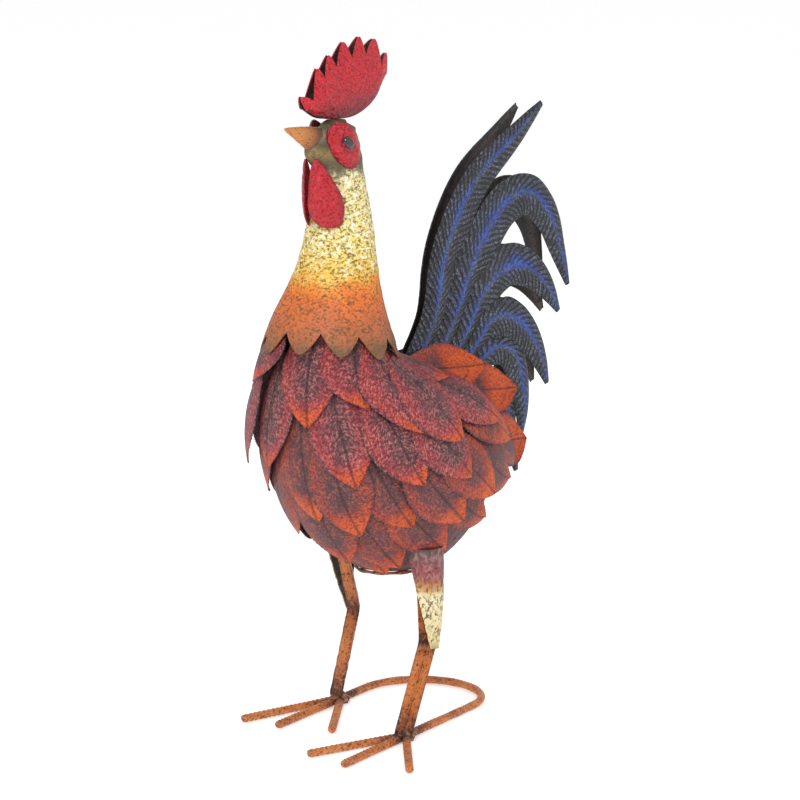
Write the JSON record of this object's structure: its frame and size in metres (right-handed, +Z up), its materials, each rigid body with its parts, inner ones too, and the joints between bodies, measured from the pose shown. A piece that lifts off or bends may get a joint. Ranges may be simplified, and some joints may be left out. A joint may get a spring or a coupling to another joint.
{
  "type": "rooster garden statue",
  "caption": "Free-standing rooster statue of welded and painted sheet metal, with layered leaf-shaped feathers, arched sickle tail and rod feet joined by a rear loop.",
  "frame": {"origin": "centre of the bounding box on the ground, under the feet", "axes": "+Z up, the rooster looks along -X, its left side is -Y"},
  "size_m": [0.3922, 0.2404, 0.6401],
  "materials": {
    "rust": "rusty orange paint with dark brown speckle",
    "mauve": "matt mauve-brown paint with a silvery dry-brush",
    "feather": "embossed, red to maroon paint with orange edges",
    "flame": "embossed, orange to maroon paint",
    "cream": "cream to orange blended paint with olive speckle",
    "red": "hammered, glossy red paint",
    "ochre": "ochre paint with dark speckle",
    "black": "gloss black paint",
    "slate": "embossed, charcoal paint with blue ridges and silver flecks"
  },
  "bodies": {
    "root": {"body_shell": "mauve", "belly_ring": "rust", "feather_a_01": "feather", "feather_a_02": "feather", "feather_a_03": "feather", "feather_a_04": "feather", "feather_a_05": "feather", "feather_a_06": "feather", "feather_a_07": "feather", "feather_a_08": "feather", "feather_a_09": "feather", "feather_a_10": "feather", "feather_b_01": "feather", "feather_b_02": "feather", "feather_b_03": "feather", "feather_b_04": "feather", "feather_b_05": "feather", "feather_b_06": "feather", "feather_b_07": "feather", "feather_b_08": "feather", "feather_b_09": "feather", "band_c": "flame", "band_d": "flame", "rump_feather_left_1": "flame", "rump_feather_left_2": "flame", "rump_feather_left_3": "flame", "rump_feather_right_1": "flame", "rump_feather_right_2": "flame", "rump_feather_right_3": "flame", "neck_and_head": "cream", "beak": "ochre", "eye_patch_left": "red", "eye_patch_right": "red", "eye_left": "black", "eye_right": "black", "comb_left": "red", "comb_right": "red", "wattle_left": "red", "wattle_right": "red", "tail_left": "slate", "tail_right": "slate", "leg_left": "rust", "leg_right": "rust", "thigh_cover_left": "mauve", "thigh_cover_right": "mauve", "toe_inner_left": "rust", "toe_inner_right": "rust", "toe_middle_left": "rust", "toe_middle_right": "rust", "toe_outer_left": "rust", "toe_outer_right": "rust", "rear_loop": "rust"}
  },
  "joints": []
}
